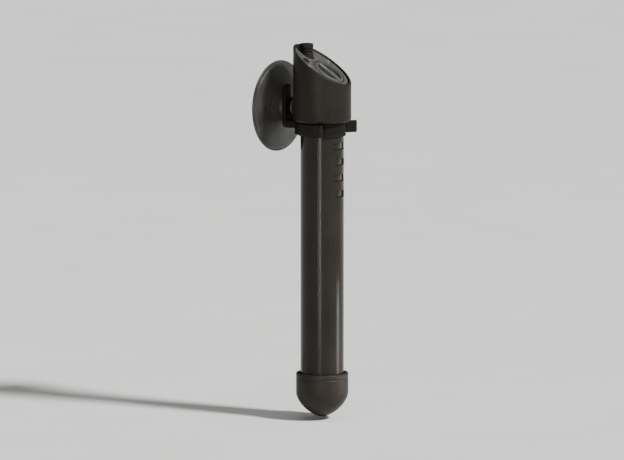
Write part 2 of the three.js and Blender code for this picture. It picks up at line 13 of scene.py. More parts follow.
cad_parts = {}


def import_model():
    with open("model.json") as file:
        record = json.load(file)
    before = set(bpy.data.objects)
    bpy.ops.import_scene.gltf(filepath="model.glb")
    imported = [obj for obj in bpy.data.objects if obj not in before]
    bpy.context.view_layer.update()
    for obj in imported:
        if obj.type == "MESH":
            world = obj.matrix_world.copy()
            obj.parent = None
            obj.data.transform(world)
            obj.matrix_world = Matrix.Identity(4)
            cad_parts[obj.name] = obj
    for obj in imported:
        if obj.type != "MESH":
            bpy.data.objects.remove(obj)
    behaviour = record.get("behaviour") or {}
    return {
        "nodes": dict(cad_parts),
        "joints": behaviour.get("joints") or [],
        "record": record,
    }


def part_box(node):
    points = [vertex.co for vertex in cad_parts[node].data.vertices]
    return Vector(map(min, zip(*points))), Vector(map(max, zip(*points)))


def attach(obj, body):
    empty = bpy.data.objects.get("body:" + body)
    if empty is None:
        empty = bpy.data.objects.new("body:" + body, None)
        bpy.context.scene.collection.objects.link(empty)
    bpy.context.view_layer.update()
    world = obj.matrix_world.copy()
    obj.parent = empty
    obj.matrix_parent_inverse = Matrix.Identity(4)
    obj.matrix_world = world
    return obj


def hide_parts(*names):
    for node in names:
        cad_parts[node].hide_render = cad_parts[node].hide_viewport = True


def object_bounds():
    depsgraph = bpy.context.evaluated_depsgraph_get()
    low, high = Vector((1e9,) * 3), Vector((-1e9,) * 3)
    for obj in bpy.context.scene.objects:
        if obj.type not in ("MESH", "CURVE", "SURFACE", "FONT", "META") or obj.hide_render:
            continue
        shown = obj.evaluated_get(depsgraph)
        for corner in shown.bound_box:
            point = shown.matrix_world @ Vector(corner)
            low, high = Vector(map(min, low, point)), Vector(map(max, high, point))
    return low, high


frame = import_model()
cad_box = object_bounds()

MM = 0.001


# ---------------------------------------------------------------- places, read from the CAD model


def span(node):
    """A CAD node's lowest and highest corner at rest, in millimetres."""
    low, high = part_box(node)
    return Vector(low) / MM, Vector(high) / MM


def joint(name):
    """A joint's row in the frame."""
    return next(j for j in frame["joints"] if j["name"] == name)


tube_low, tube_high = span("casing_tube")
head_low, head_high = span("head_housing")
foot_low, foot_high = span("foot_cap")
liner_low, liner_high = span("clip_liner")
cup_low, cup_high = span("suction_cup")
gland_low, gland_high = span("cable_gland")

AXIS_X = (tube_low.x + tube_high.x) / 2
HEAD_R = (head_high.y - head_low.y) / 2
FOOT_R = (foot_high.y - foot_low.y) / 2
FLANGE_R = (tube_high.y - tube_low.y) / 2
LINER_R = (liner_high.y - liner_low.y) / 2
CUP_R = (cup_high.y - cup_low.y) / 2
GLAND_R = (gland_high.y - gland_low.y) / 2

dial_axis = Vector(joint("dial_turn")["axis"])
TILT = acos(dial_axis.z)
FRONT = atan2(dial_axis.y, dial_axis.x)
RIM_Z = head_high.z - HEAD_R * tan(TILT)  # where the slanted rim's plane crosses the tube's axis

# The tube's axes: X to the front, Z up, zero at the cup's height. The face's: X downhill, Z out of the face.
HEATER = Matrix.Translation((AXIS_X, 0, 0)) @ Matrix.Rotation(FRONT, 4, "Z")
FACE = HEATER @ Matrix.Translation((0, 0, RIM_Z)) @ Matrix.Rotation(TILT, 4, "Y")
CUP = Matrix.Rotation(pi / 2, 4, "Y")  # Z away from the glass

DIAL_S = (FACE.inverted() @ (Vector(joint("dial_turn")["pos_m"]) / MM)).x
GLAND_X = -((gland_low + gland_high) / 2 - Vector((AXIS_X, 0, (gland_low.z + gland_high.z) / 2))).length
lens_middle = FACE.inverted() @ ((span("pilot_lens")[0] + span("pilot_lens")[1]) / 2)

FACE_METRES = FACE.copy()
FACE_METRES.translation *= MM
DIAL_METRES = FACE_METRES @ Matrix.Translation((DIAL_S * MM, 0, 0))

# Sizes that no CAD box gives. Heights on the face are above the plane of the slanted rim.
FIT = 0.3  # the gap between two pieces
LINER_WALL = 0.6
TUBE_R = LINER_R - LINER_WALL - FIT
TUBE_WALL = 1.6
TUBE_ROUND = 6  # of the tube's closed end
FLANGE_HEIGHT = 1.6
PLATE_R = 11.1
PLATE_SINK = 0.6  # from the rim's plane down to the plate
PLATE_THICK = 1.6
RECESS_R = PLATE_R + FIT
DIAL_R = 7
DIAL_TOP = -0.3
DIAL_BOTTOM = -2.9
WELL_R = DIAL_R + FIT
WELL_WALL = 1.2
WELL_FLOOR = -3.2
WELL_BOTTOM = -4.6
GLAND_BORE_R = 2.2
GLAND_BORE_DEPTH = 8.3
LENS_R = 1.3
LENS_BOTTOM = -4.2


# ---------------------------------------------------------------- mesh helpers


def rounded(outline, steps=4):
    """Points of an outline whose corners (x, y, radius, ...) with a radius are turned into short curves."""
    points = []
    count = len(outline)
    for i, corner in enumerate(outline):
        here, radius, rest = Vector(corner[:2]), corner[2], tuple(corner[3:])
        to_last = Vector(outline[i - 1][:2]) - here
        to_next = Vector(outline[(i + 1) % count][:2]) - here
        if radius <= 0 or to_last.length < 1e-6 or to_next.length < 1e-6:
            points.append((here.x, here.y) + rest)
            continue
        half = to_last.angle(to_next) / 2
        back = min(radius / tan(half), to_last.length * 0.49, to_next.length * 0.49)
        start = here + to_last.normalized() * back
        end = here + to_next.normalized() * back
        for k in range(steps + 1):
            t = k / steps
            bend = (1 - t) ** 2 * start + 2 * t * (1 - t) * here + t**2 * end
            points.append((bend.x, bend.y) + rest)
    return points


def arc(x, y, radius, start, end, steps):
    """Corners without a radius along an arc, between two angles in degrees."""
    angles = [radians(start + (end - start) * k / steps) for k in range(steps + 1)]
    return [(x + radius * cos(a), y + radius * sin(a), 0) for a in angles]


def even_angles(count):
    """Angles in radians, evenly round a full turn."""
    return [2 * pi * k / count for k in range(count)]


def revolved(profile, angles=None, shape=None):
    """A body turned about Z. A profile point is (r, z) and whatever else shape reads to move it."""
    angles = angles or even_angles(128)
    shape = shape or (lambda point, angle: point[:2])
    bm = bmesh.new()
    rings = []
    for point in profile:
        if point[0] < 1e-6:
            rings.append([bm.verts.new((0, 0, point[1]))])
            continue
        ring = []
        for angle in angles:
            r, z = shape(point, angle)
            ring.append(bm.verts.new((r * cos(angle), r * sin(angle), z)))
        rings.append(ring)
    pairs = list(zip(rings, rings[1:]))
    if len(rings[0]) > 1 and len(rings[-1]) > 1:
        pairs.append((rings[-1], rings[0]))
    count = len(angles)
    for low, high in pairs:
        for k in range(count):
            n = (k + 1) % count
            corners = [low[k % len(low)], low[n % len(low)], high[n % len(high)], high[k % len(high)]]
            unique = [v for i, v in enumerate(corners) if v not in corners[:i]]
            if len(unique) > 2:
                bm.faces.new(unique)
    bmesh.ops.recalc_face_normals(bm, faces=bm.faces)
    return bm


def prism(outline, low, high):
    """An outline of (x, y) points that stands from low to high."""
    bm = bmesh.new()
    bottom = [bm.verts.new((p[0], p[1], low)) for p in outline]
    top = [bm.verts.new((p[0], p[1], high)) for p in outline]
    bm.faces.new(bottom)
    bm.faces.new(top)
    for k in range(len(outline)):
        n = (k + 1) % len(outline)
        bm.faces.new((bottom[k], bottom[n], top[n], top[k]))
    bmesh.ops.recalc_face_normals(bm, faces=bm.faces)
    return bm


def circle(r, x=0, y=0, count=96):
    """Points round a circle."""
    return [(x + r * cos(a), y + r * sin(a)) for a in even_angles(count)]


def moved(bm, matrix):
    """A bmesh, after a matrix has been applied to it."""
    bm.transform(matrix)
    return bm


def as_object(name, bm):
    """A linked object from a bmesh in millimetres. The bmesh is used up."""
    bm.transform(Matrix.Scale(MM, 4))
    mesh = bpy.data.meshes.new(name)
    bm.to_mesh(mesh)
    bm.free()
    made = bpy.data.objects.new(name, mesh)
    bpy.context.scene.collection.objects.link(made)
    return made


def baked(made):
    """Applies every modifier."""
    graph = bpy.context.evaluated_depsgraph_get()
    mesh = bpy.data.meshes.new_from_object(made.evaluated_get(graph))
    made.modifiers.clear()
    made.data = mesh
    return made


def combined(made, tool, operation):
    """Joins a second body to made, or cuts it out."""
    modifier = made.modifiers.new("combine", "BOOLEAN")
    modifier.operation = operation
    modifier.solver = "EXACT"
    modifier.object = tool
    baked(made)
    bpy.data.objects.remove(tool)
    return made


def joined(made, *tools):
    """Joins several bodies to made."""
    for tool in tools:
        combined(made, as_object("tool", tool), "UNION")
    return made


def cut(made, *tools):
    """Cuts several bodies out of made."""
    for tool in tools:
        combined(made, as_object("tool", tool), "DIFFERENCE")
    return made


def softened(made, width, segments=3, limit=35):
    """Rounds the edges that are sharper than the limit."""
    bevel = made.modifiers.new("edges", "BEVEL")
    bevel.width = width * MM
    bevel.segments = segments
    bevel.limit_method = "ANGLE"
    bevel.angle_limit = radians(limit)
    bevel.use_clamp_overlap = True
    return baked(made)


def melted(made, voxel, smooth):
    """Makes one even skin of a moulding and rounds all its edges."""
    remesh = made.modifiers.new("skin", "REMESH")
    remesh.mode = "VOXEL"
    remesh.voxel_size = voxel * MM
    relax = made.modifiers.new("relax", "SMOOTH")
    relax.factor = 0.5
    relax.iterations = smooth
    return baked(made)


def shaded(made, limit=32):
    """Smooth faces, split at edges sharper than the limit."""
    bm = bmesh.new()
    bm.from_mesh(made.data)
    for face in bm.faces:
        face.smooth = True
    for edge in bm.edges:
        edge.smooth = len(edge.link_faces) == 2 and edge.calc_face_angle(0) < radians(limit)
    bm.to_mesh(made.data)
    bm.free()
    return made


def dressed(made, material, body, slot, *replaced):
    """Gives a finished piece its material and its CAD body."""
    made.data.materials.clear()
    made.data.materials.append(material)
    shaded(made)
    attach(made, body)
    if replaced:
        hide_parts(*replaced)
    return made


# ---------------------------------------------------------------- material helpers


class Nodes:
    """Builds one node material round a Principled shader.

    Patterns lie in the object's own metres, so a scale of 1000 makes features of about a millimetre.
    """

    def __init__(self, name, **uniform):
        """Starts a material. The values in uniform go on the shader's sockets."""
        self.material = bpy.data.materials.new(name)
        self.material.use_nodes = True
        self.tree = self.material.node_tree
        self.shader = self.tree.nodes["Principled BSDF"]
        for socket, value in uniform.items():
            self.shader.inputs[socket.replace("_", " ")].default_value = value
        self.place = self.add("ShaderNodeTexCoord").outputs["Object"]

    def add(self, kind, inputs=None, **settings):
        """A new node. Its inputs are either sockets to link or plain values."""
        made = self.tree.nodes.new(kind)
        for key, value in settings.items():
            setattr(made, key, value)
        for key, value in (inputs or {}).items():
            if isinstance(value, bpy.types.NodeSocket):
                self.tree.links.new(value, made.inputs[key])
            else:
                made.inputs[key].default_value = value
        return made

    def stretched(self, x, y, z):
        """The place, scaled along each axis: a small factor draws a pattern out."""
        return self.add("ShaderNodeMapping", {"Vector": self.place, "Scale": (x, y, z)}).outputs["Vector"]

    def noise(self, scale, detail=3, where=None, roughness=0.55):
        """Soft clouds, mostly between 0.3 and 0.7."""
        inputs = {"Vector": where or self.place, "Scale": scale, "Detail": detail, "Roughness": roughness}
        return self.add("ShaderNodeTexNoise", inputs).outputs["Fac"]

    def cells(self, scale, where=None):
        """The distance from the nearest of many scattered points."""
        inputs = {"Vector": where or self.place, "Scale": scale}
        return self.add("ShaderNodeTexVoronoi", inputs).outputs["Distance"]

    def ranged(self, value, low, high, to_low=0.0, to_high=1.0):
        """A value moved from one range to another and kept inside it."""
        inputs = {"Value": value, "From Min": low, "From Max": high, "To Min": to_low, "To Max": to_high}
        return self.add("ShaderNodeMapRange", inputs).outputs["Result"]

    def mixed(self, factor, first, second):
        """A colour between two others."""
        mix = self.add("ShaderNodeMix", data_type="RGBA")
        sockets = [s for s in mix.inputs if s.type == "RGBA"]
        for socket, value in zip([mix.inputs[0]] + sockets, (factor, first, second)):
            if isinstance(value, bpy.types.NodeSocket):
                self.tree.links.new(value, socket)
            else:
                socket.default_value = value
        return next(s for s in mix.outputs if s.type == "RGBA")

    def math(self, operation, first, second):
        """Arithmetic on two values."""
        made = self.add("ShaderNodeMath", {0: first, 1: second}, operation=operation)
        return made.outputs[0]

    def edges(self):
        """1 along convex edges, 0 on flat stretches."""
        flat, convex = 0.52, 0.62
        return self.ranged(self.add("ShaderNodeNewGeometry").outputs["Pointiness"], flat, convex)

    def bump(self, height, distance, strength=1.0, under=None):
        """A bumpy normal of a given depth in millimetres, on top of another one if there is one."""
        inputs = {"Height": height, "Distance": distance * MM, "Strength": strength}
        if under:
            inputs["Normal"] = under
        return self.add("ShaderNodeBump", inputs).outputs["Normal"]

    def into(self, socket, value):
        """Links a value to one of the shader's sockets."""
        self.tree.links.new(value, self.shader.inputs[socket])
        return self


def colour(r, g, b):
    """An opaque linear colour."""
    return (r, g, b, 1)


def shade_of(rgb, factor):
    """The same colour, lighter or darker."""
    return tuple(c * factor for c in rgb[:3]) + (1,)


def moulded(name, base, roughness, grain=0.010, ripple=0.008, wear=0.5, **uniform):
    """A moulded plastic: clouded colour, flow lines along the draw, fine grain and paler worn edges."""
    n = Nodes(name, **uniform)
    cloud = n.noise(70, 4)
    flow = n.noise(900, 2, n.stretched(1, 1, 0.06))
    tone = n.mixed(n.ranged(cloud, 0.3, 0.7), shade_of(base, 0.82), shade_of(base, 1.2))
    tone = n.mixed(n.ranged(flow, 0.35, 0.75, 0, 0.35), tone, shade_of(base, 1.3))
    worn = n.math("MULTIPLY", n.edges(), n.ranged(n.noise(600, 4), 0.35, 0.65, 0.1, wear))
    n.into("Base Color", n.mixed(worn, tone, shade_of(base, 2.2)))
    smudges = n.noise(160, 5)
    n.into("Roughness", n.ranged(smudges, 0.25, 0.75, roughness - 0.05, roughness + 0.07))
    fine = n.bump(n.noise(2600, 3), grain)
    return n.into("Normal", n.bump(n.noise(240, 2), ripple, 1.0, fine)).material


def rubbery(name, base, roughness, **uniform):
    """Rubber: powdery lighter film in patches, soft moulded texture and fine specks."""
    n = Nodes(name, **uniform)
    film = n.ranged(n.noise(120, 6, roughness=0.7), 0.4, 0.75)
    tone = n.mixed(film, shade_of(base, 0.85), shade_of(base, 1.5))
    specks = n.ranged(n.cells(1500), 0.0, 0.16, 0.5, 0.0)
    tone = n.mixed(specks, tone, shade_of(base, 2.4))
    n.into("Base Color", tone)
    n.into("Roughness", n.ranged(n.noise(300, 4), 0.3, 0.7, roughness - 0.08, roughness + 0.12))
    fine = n.bump(n.noise(2200, 4), 0.014)
    return n.into("Normal", n.bump(n.noise(330, 3), 0.03, 1.0, fine)).material


def metallic(name, base, roughness, stretch=(1, 1, 0.05), **uniform):
    """Drawn or turned metal: fine lines along the draw, tarnish in patches."""
    n = Nodes(name, Metallic=1.0, **uniform)
    lines = n.noise(5200, 2, n.stretched(*stretch))
    tarnish = n.ranged(n.noise(420, 5), 0.42, 0.72)
    n.into("Base Color", n.mixed(tarnish, shade_of(base, 1.1), shade_of(base, 0.62)))
    n.into("Roughness", n.ranged(lines, 0.3, 0.7, roughness - 0.08, roughness + 0.12))
    return n.into("Normal", n.bump(lines, 0.006)).material


def fired(name, base):
    """Unglazed ceramic: chalky, with dark specks and pinholes."""
    n = Nodes(name)
    specks = n.ranged(n.cells(1100), 0.02, 0.12, 1.0, 0.0)
    tone = n.mixed(n.noise(260, 5), shade_of(base, 0.86), shade_of(base, 1.06))
    n.into("Base Color", n.mixed(specks, tone, shade_of(base, 0.4)))
    n.into("Roughness", n.ranged(n.noise(500, 3), 0.3, 0.7, 0.7, 0.9))
    return n.into("Normal", n.bump(n.noise(1800, 5), 0.03)).material


def flaky(name, base):
    """Mica: overlapping pearly flakes."""
    n = Nodes(name)
    flakes = n.cells(420, n.stretched(1, 1, 0.5))
    n.into("Base Color", n.mixed(n.ranged(flakes, 0.1, 0.6), shade_of(base, 1.25), shade_of(base, 0.6)))
    n.into("Roughness", n.ranged(flakes, 0.1, 0.6, 0.3, 0.5))
    return n.into("Normal", n.bump(flakes, 0.02)).material


def glassy(name, base, roughness, **uniform):
    """Clear or tinted hard plastic or glass with faint drawing marks."""
    n = Nodes(name, **uniform)
    n.into("Base Color", n.mixed(n.noise(400, 3), shade_of(base, 0.9), shade_of(base, 1.1)))
    n.into("Roughness", n.ranged(n.noise(900, 3), 0.3, 0.7, max(roughness - 0.04, 0.01), roughness + 0.05))
    return n.into("Normal", n.bump(n.noise(700, 2), 0.01)).material


# ---------------------------------------------------------------- materials, one per slot of the record

MATERIALS = {
    "casing": moulded("casing_plastic", colour(0.0150, 0.0125, 0.0098), 0.20, grain=0.0008, ripple=0.0015,
                      wear=0.2, Specular_IOR_Level=0.14),
    "head": moulded("head_plastic", colour(0.0160, 0.0138, 0.0108), 0.42, Specular_IOR_Level=0.08),
    "foot": moulded("foot_plastic", colour(0.0225, 0.0188, 0.0150), 0.44, Specular_IOR_Level=0.12),
    "holder": moulded("holder_plastic", colour(0.0080, 0.0068, 0.0052), 0.42, Specular_IOR_Level=0.10),
    "face": moulded("face_plastic", colour(0.046, 0.045, 0.044), 0.50, wear=0.3),
    "dial": moulded("dial_plastic", colour(0.054, 0.053, 0.052), 0.46, wear=0.3),
    "cup": rubbery("cup_rubber", colour(0.042, 0.0405, 0.038), 0.36, Transmission_Weight=0.25, IOR=1.42),
    "liner_rubber": rubbery("liner_rubber", colour(0.007, 0.0065, 0.006), 0.65, Specular_IOR_Level=0.1),
    "gland_rubber": rubbery("gland_rubber", colour(0.010, 0.0093, 0.0084), 0.6, Specular_IOR_Level=0.15),
    "silicone": rubbery("silicone_rubber", colour(0.20, 0.035, 0.02), 0.5),
    "lens": glassy("lens_plastic", colour(0.028, 0.006, 0.005), 0.12, Transmission_Weight=0.2, IOR=1.49),
    "lamp_glass": glassy("lamp_glass", colour(0.9, 0.86, 0.82), 0.05, Transmission_Weight=0.9, IOR=1.5),
    "nylon": moulded("natural_nylon", colour(0.66, 0.62, 0.52), 0.5, wear=0.1),
    "resin": moulded("brown_resin", colour(0.17, 0.075, 0.028), 0.5, wear=0.2),
    "steel": metallic("plain_steel", colour(0.48, 0.48, 0.47), 0.34),
    "brass": metallic("plain_brass", colour(0.50, 0.34, 0.13), 0.36),
    "copper": metallic("plain_copper", colour(0.56, 0.26, 0.13), 0.34),
    "contact_silver": metallic("contact_silver", colour(0.74, 0.73, 0.70), 0.3),
    "heat_wire": metallic("heat_wire", colour(0.17, 0.15, 0.13), 0.5, stretch=(1, 1, 1)),
    "magnet": metallic("sintered_magnet", colour(0.08, 0.08, 0.082), 0.55, stretch=(1, 1, 1)),
    "mica": flaky("mica_sheet", colour(0.42, 0.32, 0.18)),
    "ceramic": fired("core_ceramic", colour(0.78, 0.74, 0.65)),
}


def printed_ink():
    """Pale print with slightly broken coverage."""
    n = Nodes("printed_ink")
    gaps = n.ranged(n.noise(2400, 4), 0.3, 0.45)
    n.into("Base Color", n.mixed(gaps, colour(0.10, 0.10, 0.098), colour(0.24, 0.24, 0.235)))
    n.into("Roughness", n.ranged(n.noise(900, 3), 0.3, 0.7, 0.45, 0.65))
    return n.into("Normal", n.bump(n.noise(2600, 3), 0.01)).material


# ---------------------------------------------------------------- head, tube and foot


def slanted(point, angle):
    """Moves a (r, z, follow) profile point onto the slant: follow is 1 on the rim and 0 at the bottom."""
    r, z, follow = point
    return r, z - follow * tan(TILT) * r * cos(angle)


HEAD_CHAMFER = 0.8
HEAD_LEDGE = 0.6  # how far the recess's ledge reaches in under the plate
HEAD_STEP = 5  # how far above the head's lower edge it closes in on the tube


def head_shell():
    """The head's shell: chamfered foot, side wall, rounded rim and the recess that holds the face."""
    low = head_low.z
    ledge = RIM_Z - (PLATE_SINK + PLATE_THICK + FIT) / cos(TILT)
    outline = [
        (TUBE_R + FIT, low, 0.25, 0),
        (HEAD_R - HEAD_CHAMFER, low, 0.3, 0),
        (HEAD_R, low + HEAD_CHAMFER, 0.5, 0),
        (HEAD_R, RIM_Z, 0.35, 1),
        (RECESS_R, RIM_Z, 0.25, 1),
        (RECESS_R, ledge, 0, 1),
        (RECESS_R - HEAD_LEDGE, ledge, 0, 1),
        (RECESS_R - HEAD_LEDGE, low + HEAD_STEP, 0, 0),
        (TUBE_R + FIT, low + HEAD_STEP, 0, 0),
    ]
    made = as_object("head_shell", moved(revolved(rounded(outline), even_angles(160), slanted), HEATER))
    return dressed(made, MATERIALS["head"], "heater", "head", "head_housing")


MARK_FIRST = -16.8  # the lower edge of the highest mark
MARK_PITCH = 6.8
MARK_COUNT = 4
MARK_HEIGHT = 3
MARK_DEPTH = 1
MARK_HALF = (34, 27)  # degrees to each side of the front, in turn
SEAM_AT = 78  # degrees from the front to each mould line
SEAM_HALF = 2.4  # half of a mould line's width, in degrees
SEAM_RISE = 0.05
SEAM_SLOPE = 0.6  # how wide the slope at each side of a mould line is, in degrees
EDGE = 0.25  # how wide the slope at a mark's edge is
TUBE_STEP = 3  # the longest stretch of tube without a ring of points
TUBE_TURN = 2.5  # degrees between two columns of points


def marks():
    """Each level mark's lower edge, upper edge and half width in degrees."""
    lows = [MARK_FIRST - i * MARK_PITCH for i in range(MARK_COUNT)]
    return [(low, low + MARK_HEIGHT, MARK_HALF[i % 2]) for i, low in enumerate(lows)]


def tube_relief(point, angle):
    """Sinks the level marks into the front and raises the two mould lines."""
    r, z, outer = point
    if not outer:
        return r, z
    off = abs(atan2(sin(angle), cos(angle))) * 180 / pi
    slope = EDGE / TUBE_R * 180 / pi
    for low, high, half in marks():
        inside = min(z - low, high - z) / EDGE
        across = (half - off) / slope
        sunk = max(0, min(inside, across, 1))
        r -= MARK_DEPTH * sunk
    r += SEAM_RISE * max(0, min(1, (SEAM_HALF - abs(off - SEAM_AT)) / SEAM_SLOPE))
    return r, z


def casing():
    """The sealed tube, finely divided where its marks and mould lines need it."""
    low, high = tube_low.z, tube_high.z
    shoulder = low + TUBE_ROUND
    collar = high - FLANGE_HEIGHT
    levels = {shoulder, collar}
    for bottom, top, _ in marks():
        levels |= {bottom, bottom + EDGE, top - EDGE, top}
    steps = ceil((collar - shoulder) / TUBE_STEP)
    levels |= {shoulder + (collar - shoulder) * k / steps for k in range(steps + 1)}
    turns = {k * TUBE_TURN for k in range(int(360 / TUBE_TURN))}
    slope = EDGE / TUBE_R * 180 / pi
    for side in (-1, 1):
        for half in MARK_HALF:
            turns |= {(side * half) % 360, (side * (half - slope)) % 360}
        for step in (-SEAM_HALF, SEAM_SLOPE - SEAM_HALF, SEAM_HALF - SEAM_SLOPE, SEAM_HALF):
            turns.add((side * SEAM_AT + step) % 360)
    outer = [(TUBE_R, z, 1) for z in sorted(levels)]
    flat_r = TUBE_R - TUBE_ROUND
    inner_r = TUBE_R - TUBE_WALL
    lower_end = arc(flat_r, shoulder, TUBE_ROUND, -90, -8, 10)
    inner_end = arc(flat_r, shoulder, TUBE_ROUND - TUBE_WALL, 0, -90, 8)
    flange = [(FLANGE_R, collar, 0), (FLANGE_R, high, 0), (inner_r, high, 0)]
    profile = [(0, low, 0)] + lower_end + outer + flange + inner_end + [(0, low + TUBE_WALL, 0)]
    bm = revolved(profile, [radians(t) for t in sorted(turns)], tube_relief)
    made = as_object("tube_shell", moved(bm, HEATER))
    return dressed(made, MATERIALS["casing"], "heater", "casing", "casing_tube")


FOOT_NOSE = 10.4  # from the foot's shoulder to its end
FOOT_FULLNESS = 1.6  # 2 is an ellipse, 1 a cone
FOOT_VENT_R = 1.5
FOOT_VENT_ROUND = 0.3
FOOT_NOSE_STEPS = 16
FOOT_RING = 2.6  # from the foot's upper edge down to the witness ring's lower end
FOOT_RING_STEP = 0.2
FOOT_RING_DEPTH = 0.12


def foot():
    """The push-on foot: rolled lip, skirt with a faint witness ring, and a nose that narrows to its vent."""
    low, high = foot_low.z, foot_high.z
    straight = low + FOOT_NOSE
    nose = []
    for k in range(FOOT_NOSE_STEPS + 1):
        angle = pi / 2 * (1 - k / FOOT_NOSE_STEPS)
        r = FOOT_R * cos(angle) ** (2 / FOOT_FULLNESS)
        if r > FOOT_VENT_R + FOOT_VENT_ROUND:
            nose.append((r, straight - FOOT_NOSE * sin(angle) ** (2 / FOOT_FULLNESS), 0))
    inner_r = TUBE_R + FIT
    inner_end = tube_low.z - FIT
    bore_round = TUBE_ROUND + FIT
    bore = arc(inner_r - bore_round, inner_end + bore_round, bore_round, 0, -84, 10)
    ring = high - FOOT_RING
    outline = nose + [
        (FOOT_R, ring, 0.1),
        (FOOT_R - FOOT_RING_DEPTH, ring + FOOT_RING_STEP, 0.1),
        (FOOT_R - FOOT_RING_DEPTH, ring + 2 * FOOT_RING_STEP, 0.1),
        (FOOT_R, ring + 3 * FOOT_RING_STEP, 0.1),
        (FOOT_R, high - 0.1, 0.6),
        (inner_r, high, 0.4),
        *bore,
        (FOOT_VENT_R, inner_end, 0.2),
        (FOOT_VENT_R, low + 0.1, 0.4),
    ]
    made = as_object("foot_shell", moved(revolved(rounded(outline)), HEATER))
    return dressed(made, MATERIALS["foot"], "heater", "foot", "foot_cap")


# ---------------------------------------------------------------- slanted face


BRIM_RISE = 0.22  # how far the ring round the dial's well stands above the plate
BRIM_WIDTH = 0.8
HOLE_REACH = 12  # how far a cutting body reaches to each side
WELL_REACH = 8


def face_panel():
    """The slanted plate: a raised ring round the dial's well, and holes for the gland and the lens."""
    along = PLATE_R / cos(TILT)
    oval = [(along * cos(a), PLATE_R * sin(a)) for a in even_angles(160)]
    top = -PLATE_SINK
    brim = top + BRIM_RISE
    made = as_object("face_panel", prism(oval, top - PLATE_THICK, top))
    at_dial = Matrix.Translation((DIAL_S, 0, 0))
    upright = Matrix.Rotation(-TILT, 4, "Y")

    def gland_hole():
        """A new body for the gland's hole. It cuts twice, because the well's cup closes a part of it."""
        return moved(prism(circle(GLAND_R + FIT, GLAND_X), -HOLE_REACH, HOLE_REACH), upright)

    lens_hole = prism(circle(LENS_R + FIT, lens_middle.x, lens_middle.y), -HOLE_REACH, HOLE_REACH)
    well_hole = moved(prism(circle(WELL_R, count=128), -WELL_REACH, WELL_REACH), at_dial)
    cut(made, gland_hole(), lens_hole, well_hole)
    cup_of_dial = revolved(rounded([
        (0, WELL_BOTTOM, 0), (WELL_R + WELL_WALL, WELL_BOTTOM, 0), (WELL_R + BRIM_WIDTH, brim, 0.1),
        (WELL_R, brim, 0.05), (WELL_R, WELL_FLOOR, 0), (0, WELL_FLOOR, 0),
    ]))
    joined(made, moved(cup_of_dial, at_dial))
    cut(made, gland_hole())
    softened(made, width=0.16, segments=2, limit=40)
    made.data.transform(FACE_METRES)
    return shaded(dressed(made, MATERIALS["face"], "heater", "face", "face_plate"), limit=20)


SCALLOPS = 36
SCALLOP_DEPTH = 0.14
SCALLOP_COLUMNS = 8  # of points
KNURL_WIDTH = 1  # how far the scallops reach in over the top
DIAL_RIM = 1.3  # left standing outside the finger pockets
POCKET_DEPTH = 1.4
POCKET_CORNER = 0.7
BAR_HALF = 1.3  # half of the grip bar's width


def dial_knob():
    """The flush dial: scalloped edge, two finger pockets and the grip bar left between them."""

    def edge(point, angle):
        """Scallops the points that are marked as knurled."""
        r, z, knurled = point
        return r - knurled * SCALLOP_DEPTH * (0.5 - 0.5 * cos(SCALLOPS * angle)), z

    outline = [
        (0, DIAL_BOTTOM, 0, 0),
        (DIAL_R, DIAL_BOTTOM, 0.2, 1),
        (DIAL_R, DIAL_TOP, 0.35, 1),
        (DIAL_R - KNURL_WIDTH, DIAL_TOP, 0, 0),
        (0, DIAL_TOP, 0, 0),
    ]
    columns = even_angles(SCALLOPS * SCALLOP_COLUMNS)
    made = as_object("dial_knob", revolved(rounded(outline), columns, edge))
    pocket_r = DIAL_R - DIAL_RIM
    start = asin(BAR_HALF / pocket_r) * 180 / pi
    for side in (0, 180):
        rim = arc(0, 0, pocket_r, start, 180 - start, 40)
        rim[0] = rim[0][:2] + (POCKET_CORNER,)
        rim[-1] = rim[-1][:2] + (POCKET_CORNER,)
        pocket = prism(rounded(rim), DIAL_TOP - POCKET_DEPTH, DIAL_TOP + 1)
        cut(made, moved(pocket, Matrix.Rotation(radians(side), 4, "Z")))
    softened(made, width=0.22, limit=45)
    made.data.transform(DIAL_METRES)
    return dressed(made, MATERIALS["dial"], "dial", "dial", "temperature_dial")


TICK_COUNT = 15
TICK_SWEEP = 270  # degrees from the first tick to the last
TICK_START = 1.35  # from the well's edge
TICK_LENGTHS = (1.25, 0.75)  # in turn
TICK_HALF = 0.11  # half of a tick's width
TICK_RISE = 0.04
TICK_TO_GLAND = 0.9  # the least room a tick leaves to the gland
TICK_TO_RIM = 0.3  # and to the plate's edge
INK_SUNK = 0.02  # how deep the print reaches into its ground


def ticks(ink):
    """Printed ticks round the dial's well, long and short in turn, left out at the gland and the rim."""
    bm = bmesh.new()
    start = WELL_R + TICK_START
    for k in range(TICK_COUNT):
        angle = pi + radians(k * TICK_SWEEP / (TICK_COUNT - 1) - TICK_SWEEP / 2)
        tip = start + TICK_LENGTHS[k % 2]
        line = rounded([
            (start, -TICK_HALF, 0.05), (tip, -TICK_HALF, 0.05),
            (tip, TICK_HALF, 0.05), (start, TICK_HALF, 0.05),
        ])
        mark = prism(line, -PLATE_SINK - INK_SUNK, -PLATE_SINK + TICK_RISE)
        place = Matrix.Translation((DIAL_S, 0, 0)) @ Matrix.Rotation(angle, 4, "Z")
        end = place @ Vector((tip, 0, 0))
        gland_off = (Vector((end.x, end.y)) - Vector((GLAND_X / cos(TILT), 0))).length
        clear_of_gland = gland_off > GLAND_R / cos(TILT) + TICK_TO_GLAND
        on_plate = (end.x * cos(TILT)) ** 2 + end.y**2 < (PLATE_R - TICK_TO_RIM) ** 2
        if clear_of_gland and on_plate:
            mesh = bpy.data.meshes.new("mark")
            moved(mark, place).to_mesh(mesh)
            bm.from_mesh(mesh)
            bpy.data.meshes.remove(mesh)
        mark.free()
    made = as_object("scale_ticks", bm)
    made.data.transform(FACE_METRES)
    dressed(made, ink, "heater", "face")


